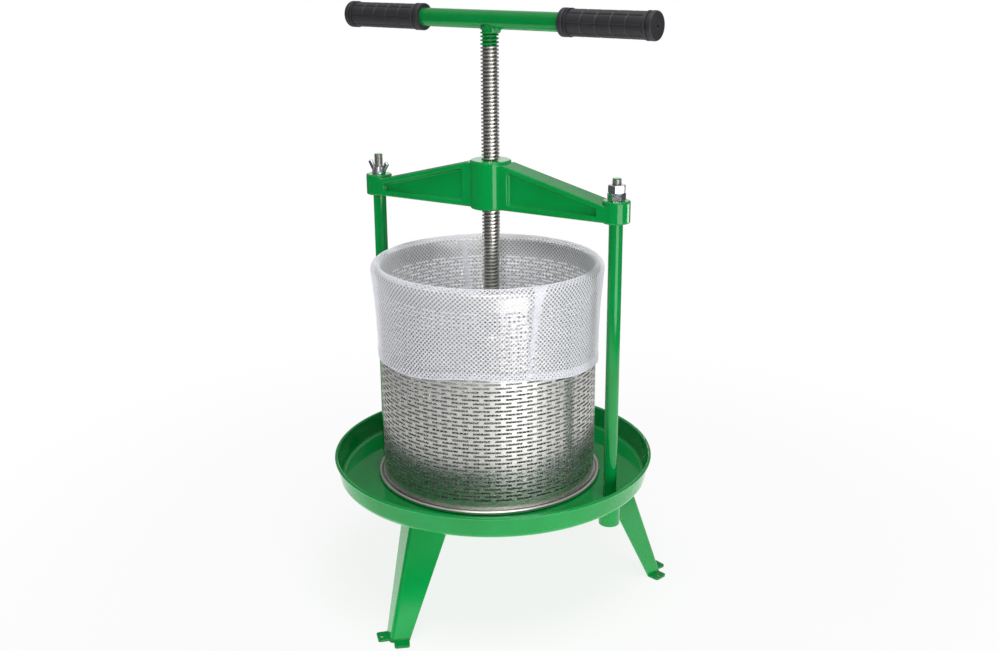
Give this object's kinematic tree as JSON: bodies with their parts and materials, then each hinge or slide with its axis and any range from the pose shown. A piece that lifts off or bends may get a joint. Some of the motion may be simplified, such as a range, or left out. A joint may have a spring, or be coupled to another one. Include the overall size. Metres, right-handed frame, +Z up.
{
  "type": "fruit press",
  "caption": "Hand-turned fruit press: a slotted drum with a mesh bag stands in a footed tray, and a plate on a T-handled screw through a crossbeam presses down into it.",
  "frame": {"origin": "on the ground under the press screw, at the middle of the circle through the foot holes", "axes": "+Z up the screw; X along the crossbeam, with the hex nuts at +X and the wing nut at -X; the spout points about to +Y"},
  "size_m": [0.4106, 0.4462, 0.6728],
  "materials": {
    "green_enamel": "glossy enamel",
    "stainless": "brushed sheet",
    "zinc_plate": "bright zinc plate",
    "bag_mesh": "open nylon mesh",
    "screw_steel": "bare rolled thread",
    "grip_rubber": "matt moulded"
  },
  "bodies": {
    "frame": {"tray": "green_enamel", "pour_spout": "green_enamel", "front_leg": "green_enamel", "rear_right_leg": "green_enamel", "rear_left_leg": "green_enamel", "left_post_socket": "green_enamel", "right_post_socket": "green_enamel", "left_post": "green_enamel", "right_post": "green_enamel", "crossbeam": "green_enamel", "beam_clamp_nut": "zinc_plate", "beam_lock_nut": "zinc_plate"},
    "wing_nut": {"wing_nut": "zinc_plate"},
    "drum": {"slotted_drum": "stainless", "drum_base_ring": "stainless", "filter_bag": "bag_mesh"},
    "press_plate": {"press_plate": "stainless", "plate_hub": "stainless", "hub_set_screws": "zinc_plate"},
    "screw": {"press_screw": "screw_steel", "handle_bar": "green_enamel", "left_grip": "grip_rubber", "right_grip": "grip_rubber"}
  },
  "joints": [
    {"name": "plate_travel", "type": "slide", "parent": "frame", "child": "press_plate", "axis": [0, 0, 1], "range_m": [-0.1361, 0.1401]},
    {"name": "screw_turn", "type": "hinge", "parent": "press_plate", "child": "screw", "pos_m": [0, 0, 0.305], "axis": [0, 0, 1], "range_deg": [-12240, 12600]},
    {"name": "drum_lift", "type": "slide", "parent": "frame", "child": "drum", "axis": [0, 0, 1], "range_m": [0, 0.06], "deforming": ["filter_bag"]},
    {"name": "wing_nut_turn", "type": "hinge", "parent": "frame", "child": "wing_nut", "pos_m": [-0.1565, 0, 0.481], "axis": [0, 0, 1], "continuous": true}
  ],
  "couplings": [
    {"joint": "plate_travel", "follows": "screw_turn", "m_per_rad": 0.00063662}
  ]
}
